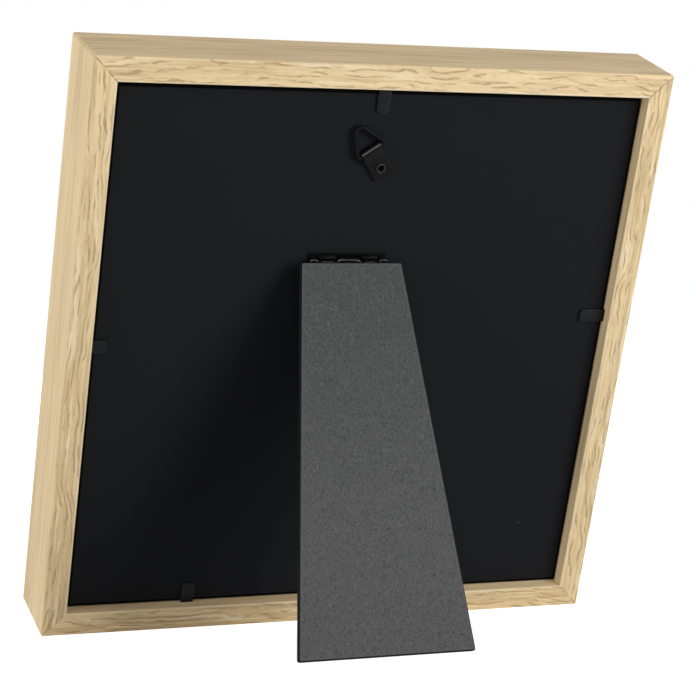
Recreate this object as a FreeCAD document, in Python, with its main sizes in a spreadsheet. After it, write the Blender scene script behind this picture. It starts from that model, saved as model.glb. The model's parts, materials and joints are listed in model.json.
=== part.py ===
import FreeCAD, Part
import math
import os
import re
import Sketcher

# Photo frame for a square picture, standing on its back edge and an easel leg.
# Every piece is drawn upright, with X across, Y out of the back and Z up, and then leaned back.
# Left and right are as seen from the picture side.

Vector = FreeCAD.Vector
Rotation = FreeCAD.Rotation
Placement = FreeCAD.Placement
AXIS_X = Vector(1, 0, 0)
AXIS_Y = Vector(0, 1, 0)
AXIS_Z = Vector(0, 0, 1)
FULL_TURN = 360
HALF_TURN = 180
QUARTER_TURN = 90
SAME_LENGTH = 1e-6

doc = FreeCAD.newDocument("easel_back_photo_frame")
sizes = doc.addObject("Spreadsheet::Sheet", "Sizes")

# Driving dimensions, in millimetres and degrees
DRIVING = [
    # moulding and picture
    ("picture_size", "200"),
    ("picture_play", "1"),
    ("wall_width", "9"),
    ("lip_width", "5"),
    ("frame_depth", "30"),
    ("board_recess", "4.9"),
    ("edge_round", "0.8"),
    ("inner_edge_round", "0.4"),
    ("corner_bevel", "0.8"),
    # what lies in the rebate
    ("glazing_thickness", "2"),
    ("glazing_arris", "0.2"),
    ("insert_thickness", "0.3"),
    ("board_thickness", "2.8"),
    ("board_play", "0.5"),
    ("rivet_play", "0.05"),
    # bending tabs
    ("tab_width", "4.8"),
    ("tab_thickness", "0.5"),
    ("tab_gap", "0.5"),
    ("tab_corner", "1.4"),
    ("tab_end_round", "0.22"),
    ("tab_root_depth", "6"),
    ("tab_root_stub", "0.2"),
    ("tab_bend_gap", "0.1"),
    ("tab_slot_play", "0.03"),
    ("tab_top_reach", "9"),
    ("tab_bottom_reach", "7.4"),
    ("tab_left_reach", "9.8"),
    ("tab_right_reach", "5.6"),
    ("tab_top_offset", "2.1"),
    ("tab_bottom_offset", "53.8"),
    ("tab_left_offset", "13.6"),
    ("tab_right_offset", "3.3"),
    # leg
    ("folded_foot_height", "3.1"),
    ("leg_top_width", "39.3"),
    ("leg_foot_width", "67"),
    ("leg_core_thickness", "2.2"),
    ("leg_cover_thickness", "0.2"),
    ("leg_cover_inset", "0.5"),
    ("leg_corner", "0.9"),
    ("leg_edge_bevel", "0.4"),
    ("leg_top_gap", "0.6"),
    ("leg_offset", "7.8"),
    ("leg_open_angle", "34.8"),
    # hinge
    ("pin_above_middle", "35.3"),
    ("pin_diameter", "1.8"),
    ("pin_play", "0.05"),
    ("pin_end", "0.3"),
    ("leaf_thickness", "0.6"),
    ("barrel_lift", "0.2"),
    ("end_knuckle", "3.2"),
    ("hook_width", "6.4"),
    ("centre_knuckle", "9.2"),
    ("knuckle_gap", "0.4"),
    ("window_play", "0.3"),
    ("flange_height", "3.2"),
    ("board_leaf_drop", "16"),
    ("board_leaf_taper", "6"),
    ("board_leaf_foot", "20"),
    ("leg_leaf_drop", "24"),
    ("leg_leaf_taper", "10"),
    ("leg_leaf_foot", "14"),
    ("leaf_shoulder_play", "0.5"),
    ("leaf_corner", "2"),
    ("tongue_length", "2.7"),
    ("tongue_rest_gap", "0.1"),
    # hinge rivets
    ("rivet_shank", "2.4"),
    ("rivet_head", "4.4"),
    ("rivet_head_height", "0.5"),
    ("rivet_head_bevel", "0.2"),
    ("rivet_tail", "4"),
    ("rivet_tail_height", "0.5"),
    ("board_rivet_drop", "10"),
    ("board_rivet_spacing", "12"),
    ("leg_rivet_drop", "17"),
    ("leg_rivet_spacing", "8"),
    # hanger
    ("eyelet_below_top", "38.8"),
    ("eyelet_hole", "2"),
    ("eyelet_barrel", "3"),
    ("eyelet_flange", "3.8"),
    ("eyelet_flange_height", "0.45"),
    ("eyelet_rim", "0.2"),
    ("eyelet_mouth", "0.25"),
    ("eyelet_play", "0.08"),
    ("eyelet_gap", "0.1"),
    ("strap_gap", "0.12"),
    ("strap_thickness", "0.6"),
    ("strap_width", "8.1"),
    ("strap_reach", "8"),
    ("strap_tail", "4"),
    ("strap_corner", "1.6"),
    ("strap_meet", "3.4"),
    ("wire_diameter", "1.6"),
    ("wire_play", "0.08"),
    ("ring_base", "11.8"),
    ("ring_rise", "13.5"),
    ("ring_corner", "0.9"),
    ("ring_apex_round", "2.2"),
    ("hanger_swivel", "36"),
    # one overrun for every cut
    ("cut_overrun", "1"),
]

# Sizes that follow from the driving ones
DERIVED = [
    ("rebate_size", "picture_size + 2 * picture_play"),
    ("outer_size", "rebate_size + 2 * wall_width"),
    ("face_width", "wall_width + lip_width"),
    ("rebate_depth", "board_recess + board_thickness + insert_thickness + glazing_thickness"),
    ("board_size", "rebate_size - 2 * board_play"),
    ("bore_radius", "pin_diameter / 2 + pin_play"),
    ("barrel_radius", "bore_radius + leaf_thickness"),
    ("pin_out", "barrel_radius + barrel_lift - board_recess"),
    ("plate_bottom", "barrel_radius + barrel_lift"),
    ("hook_start", "centre_knuckle / 2 + knuckle_gap"),
    ("hook_finish", "hook_start + hook_width"),
    ("end_start", "hook_finish + knuckle_gap"),
    ("hinge_half", "end_start + end_knuckle"),
    ("leaf_shoulder", "barrel_radius + leaf_shoulder_play"),
    ("window_half", "barrel_radius + window_play"),
    ("tongue_half", "leaf_thickness / 2"),
    ("tongue_drop", "plate_bottom - leaf_thickness - tongue_rest_gap"),
    ("tongue_span", "sqrt(tongue_length * tongue_length + tongue_half * tongue_half)"),
    ("tongue_angle", "leg_open_angle - (asin(tongue_drop / tongue_span)"
                     " - atan(tongue_half / tongue_length)) / 1 deg"),
    ("pin_height", "outer_size / 2 + pin_above_middle"),
    ("eyelet_height", "outer_size - eyelet_below_top"),
    ("leg_foot_drop", "pin_height - folded_foot_height"),
    ("wire_radius", "wire_diameter / 2"),
    ("fold_bore", "wire_radius + wire_play"),
    ("fold_radius", "fold_bore + strap_thickness"),
    ("fold_out", "strap_gap + fold_radius"),
    ("strap_top", "strap_gap + 2 * strap_thickness"),
]


def fill_sheet():
    """Write every size and its name into the sheet, the derived ones as formulas."""
    for row, (name, value) in enumerate(DRIVING + [(n, "=" + f) for n, f in DERIVED], start=1):
        sizes.set(f"A{row}", name)
        sizes.set(f"B{row}", value)
        sizes.setAlias(f"B{row}", name)
    doc.recompute()


def size(name):
    """Number held by the sheet under a name."""
    return float(getattr(sizes, name))


def bound(formula):
    """Point each size name of a formula at its cell in the sheet."""
    return re.sub(r"\b([a-z]+(?:_[a-z]+)+)\b", r"Sizes.\1", formula)


fill_sheet()


def new_body(name):
    """One separate piece, whose label is its name."""
    body = doc.addObject("PartDesign::Body", name)
    body.Label = name
    return body


def new_sketch(body, plane, lift="0"):
    """Sketch on one of the body's own planes, lifted along the plane's normal."""
    sketch = body.newObject("Sketcher::SketchObject", body.Name + "_sketch")
    base = next(f for f in body.Origin.OriginFeatures if f.Role == plane)
    sketch.AttachmentSupport = [(base, "")]
    sketch.MapMode = "FlatFace"
    sketch.setExpression("AttachmentOffset.Base.z", bound(lift))
    return sketch


def pin_point(sketch, geometry, corner, place):
    """Tie one point of a sketch to a pair of formulas."""
    for kind, formula in zip(("DistanceX", "DistanceY"), place):
        value = float(sketch.evalExpression(bound(formula)))
        index = sketch.addConstraint(Sketcher.Constraint(kind, -1, 1, geometry, corner, value))
        sketch.setExpression(f"Constraints[{index}]", bound(formula))


def draw_outline(sketch, places):
    """Closed outline of straight lines through the given pairs of formulas."""
    points = [Vector(*(float(sketch.evalExpression(bound(f))) for f in place)) for place in places]
    first = sketch.GeometryCount
    count = len(points)
    for index in range(count):
        sketch.addGeometry(Part.LineSegment(points[index], points[(index + 1) % count]))
    for index in range(count):
        following = first + (index + 1) % count
        sketch.addConstraint(Sketcher.Constraint("Coincident", first + index, 2, following, 1))
    for index, place in enumerate(places):
        pin_point(sketch, first + index, 1, place)


def draw_rectangle(sketch, left, right, low, high):
    """Rectangle between four formulas."""
    draw_outline(sketch, [(left, low), (right, low), (right, high), (left, high)])


def draw_circle(sketch, place, radius):
    """Circle with its centre at a pair of formulas."""
    centre = Vector(*(float(sketch.evalExpression(bound(f))) for f in place))
    value = float(sketch.evalExpression(bound(radius)))
    index = sketch.addGeometry(Part.Circle(centre, Vector(0, 0, 1), value))
    pin_point(sketch, index, 3, place)
    constraint = sketch.addConstraint(Sketcher.Constraint("Radius", index, value))
    sketch.setExpression(f"Constraints[{constraint}]", bound(radius))


def pad(body, sketch, length, reverse=False, both_ways=False):
    """Push a sketch out along its normal, against it, or half each way."""
    feature = body.newObject("PartDesign::Pad", body.Name + "_pad")
    feature.Profile = sketch
    feature.setExpression("Length", bound(length))
    feature.Reversed = reverse
    if both_ways:
        feature.SideType = "Symmetric"
    sketch.Visibility = False
    doc.recompute()
    return feature


def cut(body, sketch, length, reverse=False, both_ways=False):
    """Take a sketch out of a body, and make sure that something was taken."""
    before = body.Shape.Volume
    feature = body.newObject("PartDesign::Pocket", body.Name + "_cut")
    feature.Profile = sketch
    feature.setExpression("Length", bound(length))
    feature.Reversed = reverse
    if both_ways:
        feature.SideType = "Symmetric"
    doc.recompute()
    if not body.Shape.Volume < before:
        raise RuntimeError(body.Name + ": a cut missed the piece")
    return feature


def spin(body, sketch):
    """Turn a sketch once round the body's own Y axis."""
    feature = body.newObject("PartDesign::Revolution", body.Name + "_spin")
    feature.Profile = sketch
    axis = next(f for f in body.Origin.OriginFeatures if f.Role == "Y_Axis")
    feature.ReferenceAxis = (axis, [""])
    feature.Angle = FULL_TURN
    doc.recompute()
    return feature


def picked_edges(body, picks):
    """The body's last feature, and the names of its edges that a test picks by their middle point."""
    tip = body.Tip
    names = [f"Edge{index}" for index, edge in enumerate(tip.Shape.Edges, start=1)
             if picks(edge, edge.CenterOfMass)]
    if not names:
        raise RuntimeError(body.Name + ": no edge to round or bevel")
    return tip, names


def round_edges(body, radius, picks):
    """Round the edges that a test picks."""
    base = picked_edges(body, picks)
    feature = body.newObject("PartDesign::Fillet", body.Name + "_round")
    feature.Base = base
    feature.setExpression("Radius", bound(radius))
    doc.recompute()
    return feature


def bevel_edges(body, width, picks):
    """Bevel the edges that a test picks."""
    base = picked_edges(body, picks)
    feature = body.newObject("PartDesign::Chamfer", body.Name + "_bevel")
    feature.Base = base
    feature.setExpression("Size", bound(width))
    doc.recompute()
    return feature


def near(value, target):
    """Whether two lengths are the same."""
    return math.isclose(value, target, abs_tol=SAME_LENGTH)


def upright(edge, axis):
    """Whether an edge is straight and runs along an axis."""
    return edge.Curve.TypeId == "Part::GeomLine" and near(abs(edge.tangentAt(edge.FirstParameter) * axis), 1)


# Frame rails

def make_rail(name, tab_place):
    """Rebated moulding with mitred ends, its outer face down and its back face at Y zero."""
    body = new_body(name)
    section = new_sketch(body, "YZ_Plane")
    draw_outline(section, [
        ("0", "0"),
        ("0", "wall_width"),
        ("-rebate_depth", "wall_width"),
        ("-rebate_depth", "face_width"),
        ("-frame_depth", "face_width"),
        ("-frame_depth", "0"),
    ])
    pad(body, section, "outer_size")

    front = -size("frame_depth")
    face = size("face_width")
    wall = size("wall_width")
    round_edges(body, "edge_round", lambda edge, at: upright(edge, AXIS_X) and (
        near(at.z, 0) or near(at.y, front) and near(at.z, face)))
    round_edges(body, "inner_edge_round", lambda edge, at: upright(edge, AXIS_X) and (
        near(at.y, 0) and near(at.z, wall)))

    mitre = new_sketch(body, "XZ_Plane")
    draw_outline(mitre, [
        ("corner_bevel + cut_overrun", "-cut_overrun"),
        ("corner_bevel / 2", "corner_bevel / 2"),
        ("face_width + cut_overrun", "face_width + cut_overrun"),
        ("-cut_overrun", "face_width + cut_overrun"),
        ("-cut_overrun", "-cut_overrun"),
    ])
    draw_outline(mitre, [
        ("outer_size - corner_bevel - cut_overrun", "-cut_overrun"),
        ("outer_size - corner_bevel / 2", "corner_bevel / 2"),
        ("outer_size - face_width - cut_overrun", "face_width + cut_overrun"),
        ("outer_size + cut_overrun", "face_width + cut_overrun"),
        ("outer_size + cut_overrun", "-cut_overrun"),
    ])
    cut(body, mitre, "2 * frame_depth + 2 * cut_overrun", both_ways=True)

    slot = new_sketch(body, "XZ_Plane", "board_recess - tab_gap - tab_thickness - tab_slot_play")
    draw_rectangle(
        slot,
        tab_place + " - tab_width / 2 - tab_slot_play",
        tab_place + " + tab_width / 2 + tab_slot_play",
        "wall_width - tab_root_depth - tab_slot_play",
        "wall_width + cut_overrun",
    )
    cut(body, slot, "tab_thickness + 2 * tab_slot_play", reverse=True)
    return body


def rail_seats():
    """Where each rail stands upright: name, its turn about Y, its corner, and its tab along it."""
    half = size("outer_size") / 2
    whole = size("outer_size")
    return [
        ("bottom", 0, Vector(-half, 0, 0), "(outer_size / 2 + tab_bottom_offset)"),
        ("top", HALF_TURN, Vector(half, 0, whole), "(outer_size / 2 - tab_top_offset)"),
        ("left", QUARTER_TURN, Vector(-half, 0, whole), "(outer_size / 2 - tab_left_offset)"),
        ("right", -QUARTER_TURN, Vector(half, 0, 0), "(outer_size / 2 + tab_right_offset)"),
    ]


# Pieces in the rebate

def make_sheet(name, edge_length, thickness):
    """Square sheet with its back face at Y zero."""
    body = new_body(name)
    sketch = new_sketch(body, "XZ_Plane")
    half = "(" + edge_length + " / 2)"
    draw_rectangle(sketch, "-" + half, half, "-" + half, half)
    pad(body, sketch, thickness)
    return body


def drill(body, places, diameter, depth, lift="0"):
    """Round holes into a sheet, from its back face or from a plane in front of it."""
    sketch = new_sketch(body, "XZ_Plane", lift)
    for place in places:
        draw_circle(sketch, place, diameter + " / 2")
    cut(body, sketch, depth, reverse=True)


def make_glazing():
    """Clear sheet with ground edges."""
    body = make_sheet("glazing", "picture_size", "glazing_thickness")
    round_edges(body, "glazing_arris", lambda edge, at: not upright(edge, AXIS_Y))
    return body


def make_board():
    """Backing board with holes for the eyelet and the hinge rivets, counterbored in front."""
    body = make_sheet("backing_board", "board_size", "board_thickness")
    eyelet = [("0", "eyelet_height - outer_size / 2")]
    rivet_level = "pin_height - board_rivet_drop - outer_size / 2"
    rivets = [
        ("leg_offset - board_rivet_spacing / 2", rivet_level),
        ("leg_offset + board_rivet_spacing / 2", rivet_level),
    ]
    through = "board_thickness + cut_overrun"
    drill(body, eyelet, "(eyelet_barrel + 2 * rivet_play)", through)
    drill(body, rivets, "(rivet_shank + 2 * rivet_play)", through)
    drill(body, eyelet, "(rivet_tail + 2 * rivet_play)", through, "board_thickness - rivet_tail_height")
    drill(body, rivets, "(rivet_tail + 2 * rivet_play)", through, "board_thickness - rivet_tail_height")
    return body


# Bending tabs, drawn from the bend line, with the strip's middle at Y zero

def make_tab(name, reach):
    """Flat steel strip that turns about its bend line at Z zero."""
    body = new_body(name)
    sketch = new_sketch(body, "XZ_Plane")
    draw_rectangle(sketch, "-tab_width / 2", "tab_width / 2", "-tab_thickness / 2", reach)
    pad(body, sketch, "tab_thickness", both_ways=True)
    end = float(body.evalExpression(bound(reach)))
    round_edges(body, "tab_corner", lambda edge, at: upright(edge, AXIS_Y) and near(at.z, end))
    round_edges(body, "tab_end_round", lambda edge, at: upright(edge, AXIS_X) and at.z < 0)
    return body


def make_tab_root(name):
    """Part of a tab strip that is driven into the rail."""
    body = new_body(name)
    sketch = new_sketch(body, "XZ_Plane")
    stub = "(tab_thickness / 2 + tab_bend_gap)"
    buried = "(tab_root_depth + tab_root_stub)"
    draw_rectangle(sketch, "-tab_width / 2", "tab_width / 2", "-" + stub + " - " + buried, "-" + stub)
    pad(body, sketch, "tab_thickness", both_ways=True)
    return body


def tab_seat(tab_place):
    """Bend line of a tab in its rail's own space."""
    along = float(sizes.evalExpression(tab_place))
    out = size("tab_gap") + size("tab_thickness") / 2 - size("board_recess")
    inward = size("wall_width") + size("tab_root_stub") + size("tab_bend_gap") + size("tab_thickness") / 2
    return Placement(Vector(along, out, inward), Rotation())


# Hinge, drawn from the pin's axis, folded flat

def make_pin():
    """Hinge pin with bevelled ends."""
    body = new_body("hinge_pin")
    sketch = new_sketch(body, "YZ_Plane")
    draw_circle(sketch, ("0", "0"), "pin_diameter / 2")
    pad(body, sketch, "2 * (hinge_half + pin_end)", both_ways=True)
    bevel_edges(body, "pin_end", lambda edge, at: not upright(edge, AXIS_X))
    return body


def make_board_leaf():
    """Leaf on the board, with a flange above and three knuckles bridged over the pin."""
    body = new_body("hinge_board_leaf")
    plate = new_sketch(body, "XZ_Plane", "plate_bottom")
    draw_outline(plate, [
        ("-hinge_half", "flange_height"),
        ("hinge_half", "flange_height"),
        ("hinge_half", "-board_leaf_taper"),
        ("board_leaf_foot / 2", "-board_leaf_drop"),
        ("-board_leaf_foot / 2", "-board_leaf_drop"),
        ("-hinge_half", "-board_leaf_taper"),
    ])
    for side in ("-", ""):
        inner = side + "(hook_start - knuckle_gap)"
        outer = side + "(hook_finish + knuckle_gap)"
        draw_rectangle(plate, inner, outer, "-window_half", "window_half")
    pad(body, plate, "leaf_thickness", reverse=True)
    foot = -size("board_leaf_drop")
    round_edges(body, "leaf_corner", lambda edge, at: upright(edge, AXIS_Y) and near(at.z, foot))

    knuckles = [
        ("-hinge_half", "end_knuckle"),
        ("-centre_knuckle / 2", "centre_knuckle"),
        ("end_start", "end_knuckle"),
    ]
    for start, length in knuckles:
        legs = new_sketch(body, "YZ_Plane", start)
        draw_rectangle(legs, "-plate_bottom", "0", "-barrel_radius", "barrel_radius")
        pad(body, legs, length)
        crown = new_sketch(body, "YZ_Plane", start)
        draw_circle(crown, ("0", "0"), "barrel_radius")
        pad(body, crown, length)
    bore = new_sketch(body, "YZ_Plane")
    draw_circle(bore, ("0", "0"), "bore_radius")
    cut(body, bore, "2 * (hinge_half + cut_overrun)", both_ways=True)
    below = new_sketch(body, "YZ_Plane")
    draw_rectangle(below, "leaf_thickness - plate_bottom", "0", "-bore_radius", "bore_radius")
    cut(body, below, "2 * (hinge_half + cut_overrun)", both_ways=True)

    holes = new_sketch(body, "XZ_Plane")
    for side in ("-", ""):
        draw_circle(holes, (side + "board_rivet_spacing / 2", "-board_rivet_drop"),
                    "(rivet_shank / 2 + rivet_play)")
    cut(body, holes, "2 * (plate_bottom + cut_overrun)", both_ways=True)
    return body


def make_leg_leaf():
    """Leaf on the leg, with two hooks round the pin and a stop tongue on each hook."""
    body = new_body("hinge_leg_leaf")
    plate = new_sketch(body, "XZ_Plane", "-bore_radius")
    draw_outline(plate, [
        ("-hook_finish", "0"),
        ("-hook_start", "0"),
        ("-hook_start", "-leaf_shoulder"),
        ("hook_start", "-leaf_shoulder"),
        ("hook_start", "0"),
        ("hook_finish", "0"),
        ("hook_finish", "-leg_leaf_taper"),
        ("leg_leaf_foot / 2", "-leg_leaf_drop"),
        ("-leg_leaf_foot / 2", "-leg_leaf_drop"),
        ("-hook_finish", "-leg_leaf_taper"),
    ])
    pad(body, plate, "leaf_thickness", reverse=True)
    foot = -size("leg_leaf_drop")
    round_edges(body, "leaf_corner", lambda edge, at: upright(edge, AXIS_Y) and near(at.z, foot))

    start = "((bore_radius + barrel_radius) / 2)"
    tip = "tongue_length"
    corners = [(start, "-tongue_half"), (tip, "-tongue_half"), (tip, "tongue_half"), (start, "tongue_half")]
    tongue = [
        (
            f"{along} * sin(tongue_angle) + {across} * cos(tongue_angle)",
            f"{along} * cos(tongue_angle) - {across} * sin(tongue_angle)",
        )
        for along, across in corners
    ]
    for hook in ("-hook_finish", "hook_start"):
        barrel = new_sketch(body, "YZ_Plane", hook)
        draw_circle(barrel, ("0", "0"), "barrel_radius")
        pad(body, barrel, "hook_width")
        stop = new_sketch(body, "YZ_Plane", hook)
        draw_outline(stop, tongue)
        pad(body, stop, "hook_width")
    bore = new_sketch(body, "YZ_Plane")
    draw_circle(bore, ("0", "0"), "bore_radius")
    cut(body, bore, "2 * (hinge_half + cut_overrun)", both_ways=True)

    holes = new_sketch(body, "XZ_Plane")
    for side in ("-", ""):
        draw_circle(holes, (side + "leg_rivet_spacing / 2", "-leg_rivet_drop"),
                    "(rivet_shank / 2 + rivet_play)")
    cut(body, holes, "2 * (barrel_radius + cut_overrun)", both_ways=True)
    return body


def make_rivet(name, shank_length, tail_height):
    """Rivet along Y: its head rises from Y zero, and its shank goes down to a closed tail."""
    body = new_body(name)
    sketch = new_sketch(body, "XY_Plane")
    outline = [
        ("0", "rivet_head_height"),
        ("rivet_head / 2", "rivet_head_height"),
        ("rivet_head / 2", "0"),
        ("rivet_shank / 2", "0"),
    ]
    if tail_height == "0":
        outline += [("rivet_shank / 2", f"-({shank_length})"), ("0", f"-({shank_length})")]
    else:
        outline += [
            ("rivet_shank / 2", f"{tail_height} - ({shank_length})"),
            ("rivet_tail / 2", f"{tail_height} - ({shank_length})"),
            ("rivet_tail / 2", f"-({shank_length})"),
            ("0", f"-({shank_length})"),
        ]
    draw_outline(sketch, outline)
    spin(body, sketch)
    top = size("rivet_head_height")
    bevel_edges(body, "rivet_head_bevel", lambda edge, at: near(at.y, top) and not upright(edge, AXIS_X))
    return body


# Leg, drawn from the pin's axis, folded flat

def leg_outline(inset):
    """Tapered outline of the leg, drawn in by an inset."""
    top = f"-leg_top_gap - {inset}"
    foot = f"{inset} - leg_foot_drop"
    return [
        (f"{inset} - leg_top_width / 2", top),
        (f"leg_top_width / 2 - {inset}", top),
        (f"leg_foot_width / 2 - {inset}", foot),
        (f"{inset} - leg_foot_width / 2", foot),
    ]


def make_leg_core():
    """Black board core of the leg with bevelled edges."""
    body = new_body("leg_core")
    sketch = new_sketch(body, "XZ_Plane", "-barrel_radius")
    draw_outline(sketch, leg_outline("0"))
    pad(body, sketch, "leg_core_thickness", reverse=True)
    round_edges(body, "leg_corner", lambda edge, at: upright(edge, AXIS_Y))
    inner = size("barrel_radius")
    outer = inner + size("leg_core_thickness")
    bevel_edges(body, "leg_edge_bevel", lambda edge, at: near(at.y, inner) or near(at.y, outer))
    holes = new_sketch(body, "XZ_Plane")
    for side in ("-", ""):
        draw_circle(holes, (side + "leg_rivet_spacing / 2", "-leg_rivet_drop"),
                    "(rivet_shank / 2 + rivet_play)")
    cut(body, holes, "2 * (barrel_radius + leg_core_thickness + cut_overrun)", both_ways=True)
    return body


def make_leg_cover():
    """Fibre-grained paper on the leg's outer face."""
    body = new_body("leg_cover")
    sketch = new_sketch(body, "XZ_Plane", "-barrel_radius - leg_core_thickness")
    draw_outline(sketch, leg_outline("leg_cover_inset"))
    pad(body, sketch, "leg_cover_thickness", reverse=True)
    round_edges(body, "leg_corner - leg_cover_inset", lambda edge, at: upright(edge, AXIS_Y))
    return body


# Hanger, drawn from the eyelet's axis, with the board's back face at Y zero

def make_strap():
    """Steel strap folded once round the ring's wire, with a hole for the eyelet."""
    body = new_body("hanger_strap")
    flaps = new_sketch(body, "YZ_Plane")
    draw_outline(flaps, [
        ("strap_gap", "-strap_tail"),
        ("strap_gap", "strap_reach"),
        ("fold_out + fold_radius", "strap_reach"),
        ("strap_top", "strap_meet"),
        ("strap_top", "-strap_tail"),
    ])
    pad(body, flaps, "strap_width", both_ways=True)
    fold = new_sketch(body, "YZ_Plane")
    draw_circle(fold, ("fold_out", "strap_reach"), "fold_radius")
    pad(body, fold, "strap_width", both_ways=True)

    through = "strap_width + 2 * cut_overrun"
    bore = new_sketch(body, "YZ_Plane")
    draw_circle(bore, ("fold_out", "strap_reach"), "fold_bore")
    cut(body, bore, through, both_ways=True)
    throat = new_sketch(body, "YZ_Plane")
    draw_outline(throat, [
        ("fold_out - fold_bore", "strap_reach"),
        ("fold_out + fold_bore", "strap_reach"),
        ("strap_gap + strap_thickness", "strap_meet"),
    ])
    cut(body, throat, through, both_ways=True)

    end = -size("strap_tail")
    round_edges(body, "strap_corner", lambda edge, at: upright(edge, AXIS_Y) and near(at.z, end))
    hole = new_sketch(body, "XZ_Plane")
    draw_circle(hole, ("0", "0"), "(eyelet_barrel / 2 + eyelet_play)")
    cut(body, hole, "2 * (strap_top + cut_overrun)", both_ways=True)
    return body


def rounded_path(corners, radii):
    """Closed wire through corners in a plane; a corner with a radius is rounded by a tangent arc."""
    stops = []
    for index, (corner, radius) in enumerate(zip(corners, radii)):
        if radius == 0:
            stops.append((corner, None, corner))
            continue
        back = (corners[index - 1] - corner).normalize()
        ahead = (corners[(index + 1) % len(corners)] - corner).normalize()
        half_turn = back.getAngle(ahead) / 2
        trim = radius / math.tan(half_turn)
        inward = (back + ahead).normalize()
        middle = corner + inward * (radius / math.sin(half_turn) - radius)
        stops.append((corner + back * trim, middle, corner + ahead * trim))
    edges = []
    for index, (start, middle, finish) in enumerate(stops):
        if middle is not None:
            edges.append(Part.Arc(start, middle, finish).toShape())
        edges.append(Part.LineSegment(finish, stops[(index + 1) % len(stops)][0]).toShape())
    return Part.Wire(edges)


def make_ring():
    """Triangle of round wire about the fold's axis, its base along X and its apex up."""
    half = size("ring_base") / 2
    corners = [Vector(), Vector(half, 0, 0), Vector(0, 0, size("ring_rise")), Vector(-half, 0, 0)]
    path = rounded_path(corners, [0, size("ring_corner"), size("ring_apex_round"), size("ring_corner")])
    section = Part.Wire([Part.Circle(corners[0], AXIS_X, size("wire_radius")).toShape()])
    ring = doc.addObject("Part::Feature", "hanger_ring")
    ring.Label = "hanger_ring"
    ring.Shape = path.makePipeShell([section], True, False)
    return ring


def make_eyelet():
    """Tubular rivet through the strap and the board, with a flange at each end."""
    body = new_body("hanger_eyelet")
    sketch = new_sketch(body, "XY_Plane")
    seat = "(strap_top + eyelet_gap)"
    draw_outline(sketch, [
        ("eyelet_hole / 2", f"{seat} + eyelet_flange_height - eyelet_mouth"),
        ("eyelet_hole / 2 + eyelet_mouth", f"{seat} + eyelet_flange_height"),
        ("eyelet_flange / 2", f"{seat} + eyelet_flange_height"),
        ("eyelet_flange / 2", seat),
        ("eyelet_barrel / 2", seat),
        ("eyelet_barrel / 2", "rivet_tail_height - board_thickness"),
        ("rivet_tail / 2", "rivet_tail_height - board_thickness"),
        ("rivet_tail / 2", "-board_thickness"),
        ("eyelet_hole / 2", "-board_thickness"),
    ])
    spin(body, sketch)
    top = size("strap_top") + size("eyelet_gap") + size("eyelet_flange_height")
    rim = size("eyelet_flange") / 2
    bevel_edges(body, "eyelet_rim", lambda edge, at: near(at.y, top) and near(edge.Curve.Radius, rim))
    return body


# The whole frame, upright

def group(name, members):
    """Like pieces that share one node."""
    compound = doc.addObject("Part::Compound", name)
    compound.Label = name
    compound.Links = members
    return compound


def assemble():
    """Every node with its place in the upright frame."""
    middle = size("outer_size") / 2
    nodes = []
    roots = []
    for side, turn, corner, tab_place in rail_seats():
        seat = Placement(corner, Rotation(AXIS_Y, turn))
        nodes.append((make_rail("frame_rail_" + side, tab_place), seat))
        bend = seat * tab_seat(tab_place)
        nodes.append((make_tab("tab_" + side, f"tab_{side}_reach"), bend))
        root = make_tab_root("tab_root_" + side)
        root.Placement = bend
        roots.append(root)
    nodes.append((group("tab_roots", roots), Placement()))

    board_back = -size("board_recess")
    insert_back = board_back - size("board_thickness")
    glazing_back = insert_back - size("insert_thickness")
    nodes.append((make_board(), Placement(Vector(0, board_back, middle), Rotation())))
    insert = make_sheet("picture_insert", "picture_size", "insert_thickness")
    nodes.append((insert, Placement(Vector(0, insert_back, middle), Rotation())))
    nodes.append((make_glazing(), Placement(Vector(0, glazing_back, middle), Rotation())))

    pin = Vector(size("leg_offset"), size("pin_out"), size("pin_height"))
    fixed = Placement(pin, Rotation())
    open_leg = Placement(pin, Rotation(AXIS_X, size("leg_open_angle")))
    nodes.append((make_board_leaf(), fixed))
    nodes.append((make_pin(), fixed))
    nodes.append((make_leg_leaf(), open_leg))
    nodes.append((make_leg_core(), open_leg))
    nodes.append((make_leg_cover(), open_leg))

    board_rivets = []
    leg_rivets = []
    head_seat = size("leaf_thickness") - size("plate_bottom")
    for side in (-1, 1):
        hand = "left" if side < 0 else "right"
        rivet = make_rivet("board_rivet_" + hand, "leaf_thickness + board_thickness", "rivet_tail_height")
        across = side * size("board_rivet_spacing") / 2
        rivet.Placement = Placement(Vector(across, head_seat, -size("board_rivet_drop")), Rotation())
        board_rivets.append(rivet)
        rivet = make_rivet("leg_rivet_" + hand, "leaf_thickness + leg_core_thickness", "0")
        across = side * size("leg_rivet_spacing") / 2
        rivet.Placement = Placement(
            Vector(across, size("bore_radius"), -size("leg_rivet_drop")), Rotation(AXIS_X, HALF_TURN))
        leg_rivets.append(rivet)
    nodes.append((group("board_rivets", board_rivets), fixed))
    nodes.append((group("leg_rivets", leg_rivets), open_leg))

    eyelet = Placement(Vector(0, board_back, size("eyelet_height")), Rotation())
    swivel = eyelet * Placement(Vector(), Rotation(AXIS_Y, size("hanger_swivel")))
    fold = Placement(Vector(0, size("fold_out"), size("strap_reach")), Rotation())
    nodes.append((make_eyelet(), eyelet))
    nodes.append((make_strap(), swivel))
    nodes.append((make_ring(), swivel * fold))
    return nodes


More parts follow.
